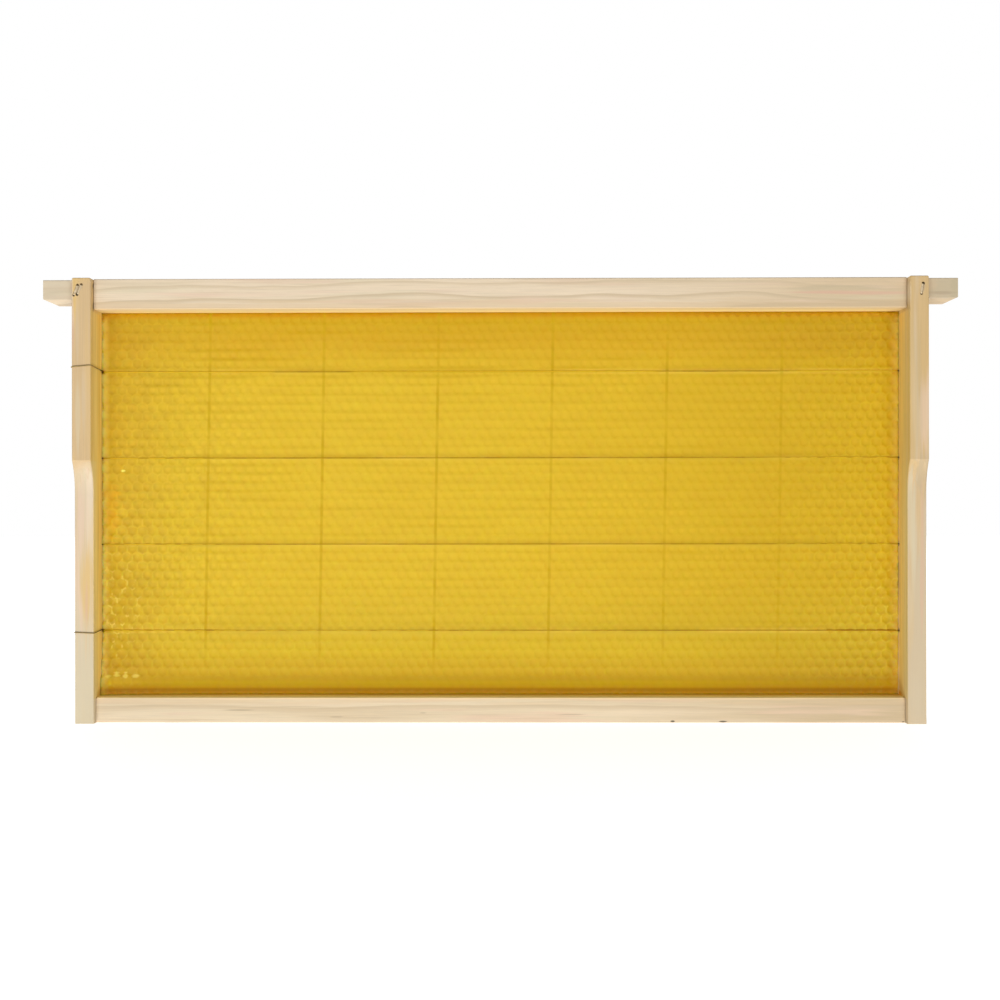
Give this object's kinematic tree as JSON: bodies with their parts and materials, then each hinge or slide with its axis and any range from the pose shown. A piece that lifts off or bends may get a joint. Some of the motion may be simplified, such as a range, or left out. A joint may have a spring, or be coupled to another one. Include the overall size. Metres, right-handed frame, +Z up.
{
  "type": "hive frame with wired wax foundation",
  "caption": "Deep wooden hive frame with hanging lugs and self-spacing end bars, strung with wire and fitted with an embossed sheet of yellow wax foundation.",
  "frame": {"origin": "centre of the frame's footprint, at the foot of the end bars", "axes": "+X along the top bar to the right as seen from the front, +Y from the front to the back, +Z up"},
  "size_m": [0.482, 0.0355, 0.234],
  "materials": {
    "pine": "planed, unfinished pale pine with eased edges",
    "wax": "yellow wax, embossed with cells, soft sheen",
    "wire": "drawn wire, dull",
    "staple": "galvanised staple wire, dull"
  },
  "bodies": {
    "root": {"top_bar": "pine", "bottom_bar": "pine", "left_end_bar": "pine", "right_end_bar": "pine", "wax_foundation": "wax", "frame_wire": "wire", "upright_wire_1": "wire", "upright_wire_2": "wire", "upright_wire_3": "wire", "upright_wire_4": "wire", "upright_wire_5": "wire", "upright_wire_6": "wire", "front_left_outer_staple": "staple", "front_left_inner_staple": "staple", "front_right_staple": "staple", "rear_left_staple": "staple", "rear_right_staple": "staple", "foot_left_staple": "staple", "foot_right_staple": "staple"}
  },
  "joints": []
}
